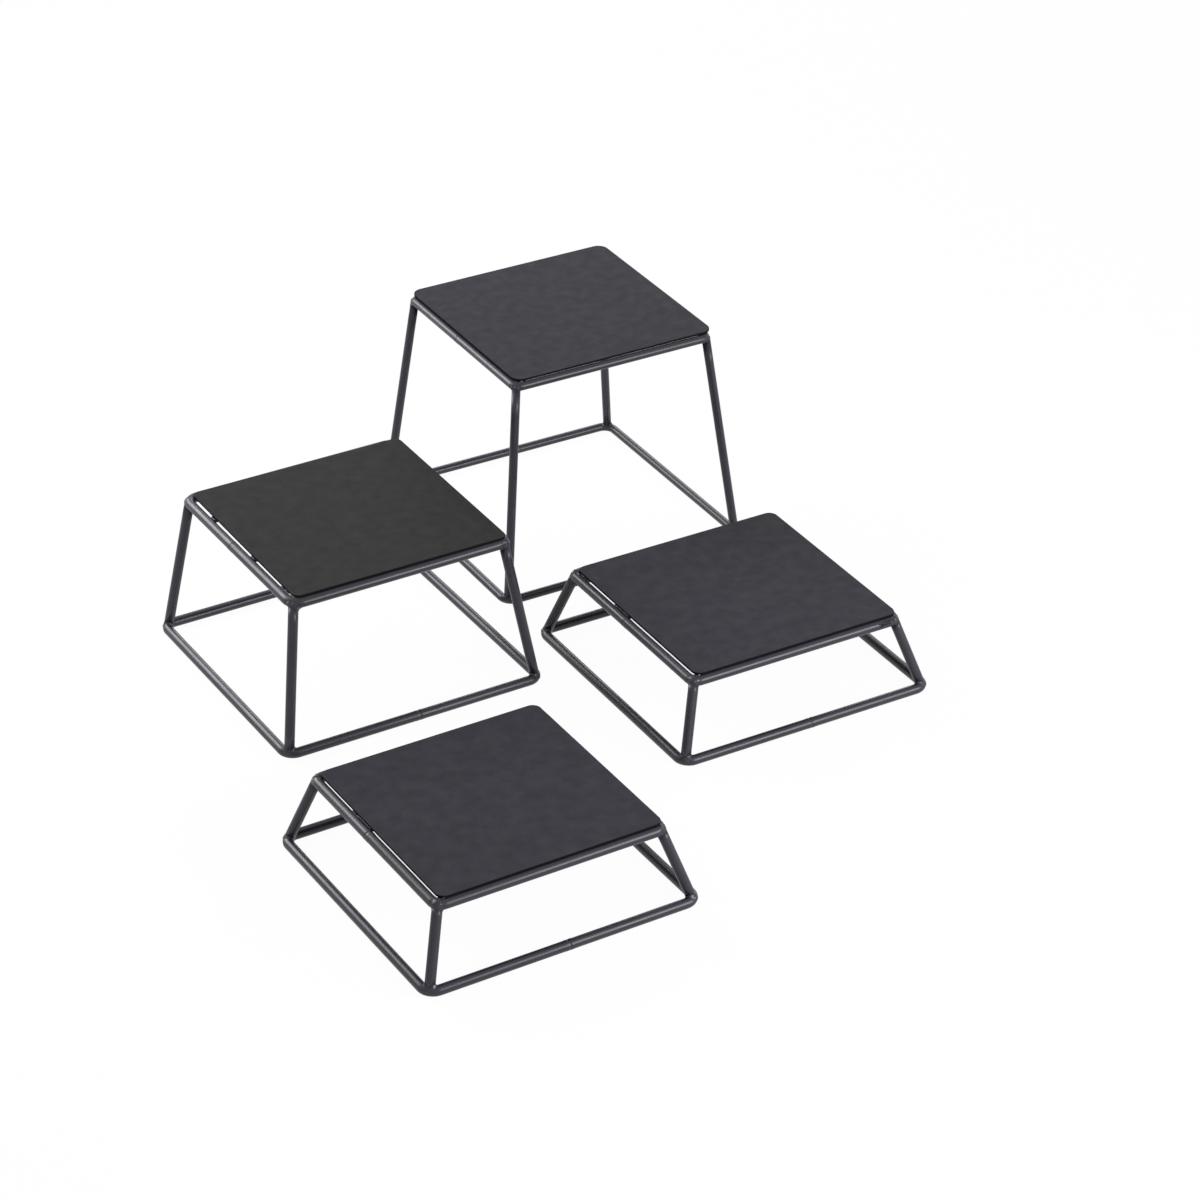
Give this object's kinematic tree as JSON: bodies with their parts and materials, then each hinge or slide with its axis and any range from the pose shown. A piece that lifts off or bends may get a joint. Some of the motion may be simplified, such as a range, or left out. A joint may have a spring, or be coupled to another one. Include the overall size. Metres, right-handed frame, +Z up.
{
  "type": "display riser set",
  "caption": "Square wire-frame display risers at stepped heights: bent-rod rings joined by leaning legs, each with a loose flat panel that lifts trays or goods.",
  "frame": {"origin": "middle of the whole set's footprint, on the table top", "axes": "+Z up; +Y along the set's longer side, from the front low riser towards the tall one; +X along the shorter side, from the middle riser towards the tall one"},
  "size_m": [0.6068, 0.7508, 0.2145],
  "materials": {
    "powder_coat": "satin black powder coat",
    "deck_panel": "matt charcoal, faintly mottled"
  },
  "bodies": {
    "tall_frame": {"tall_top_ring": "powder_coat", "tall_base_ring": "powder_coat", "tall_leg_front": "powder_coat", "tall_leg_right": "powder_coat", "tall_leg_back": "powder_coat", "tall_leg_left": "powder_coat", "tall_tab_left_1": "powder_coat", "tall_tab_left_2": "powder_coat", "tall_tab_right_1": "powder_coat", "tall_tab_right_2": "powder_coat"},
    "tall_deck": {"tall_deck": "deck_panel"},
    "mid_frame": {"mid_top_ring": "powder_coat", "mid_base_ring": "powder_coat", "mid_leg_front": "powder_coat", "mid_leg_right": "powder_coat", "mid_leg_back": "powder_coat", "mid_leg_left": "powder_coat", "mid_tab_left_1": "powder_coat", "mid_tab_left_2": "powder_coat", "mid_tab_right_1": "powder_coat", "mid_tab_right_2": "powder_coat"},
    "mid_deck": {"mid_deck": "deck_panel"},
    "low_right_frame": {"low_right_top_ring": "powder_coat", "low_right_base_ring": "powder_coat", "low_right_leg_front": "powder_coat", "low_right_leg_right": "powder_coat", "low_right_leg_back": "powder_coat", "low_right_leg_left": "powder_coat", "low_right_tab_left_1": "powder_coat", "low_right_tab_right_1": "powder_coat"},
    "low_right_deck": {"low_right_deck": "deck_panel"},
    "low_front_frame": {"low_front_top_ring": "powder_coat", "low_front_base_ring": "powder_coat", "low_front_leg_front": "powder_coat", "low_front_leg_right": "powder_coat", "low_front_leg_back": "powder_coat", "low_front_leg_left": "powder_coat", "low_front_tab_left_1": "powder_coat", "low_front_tab_right_1": "powder_coat"},
    "low_front_deck": {"low_front_deck": "deck_panel"}
  },
  "joints": [
    {"name": "tall_deck_lift", "type": "slide", "parent": "tall_frame", "child": "tall_deck", "axis": [0, 0, 1], "range_m": [0, 0.1]},
    {"name": "mid_lift", "type": "slide", "parent": "tall_frame", "child": "mid_frame", "axis": [0, 0, 1], "range_m": [0, 0.25]},
    {"name": "mid_deck_lift", "type": "slide", "parent": "mid_frame", "child": "mid_deck", "axis": [0, 0, 1], "range_m": [0, 0.1]},
    {"name": "low_right_lift", "type": "slide", "parent": "tall_frame", "child": "low_right_frame", "axis": [0, 0, 1], "range_m": [0, 0.25]},
    {"name": "low_right_deck_lift", "type": "slide", "parent": "low_right_frame", "child": "low_right_deck", "axis": [0, 0, 1], "range_m": [0, 0.1]},
    {"name": "low_front_lift", "type": "slide", "parent": "tall_frame", "child": "low_front_frame", "axis": [0, 0, 1], "range_m": [0, 0.25]},
    {"name": "low_front_deck_lift", "type": "slide", "parent": "low_front_frame", "child": "low_front_deck", "axis": [0, 0, 1], "range_m": [0, 0.1]}
  ]
}
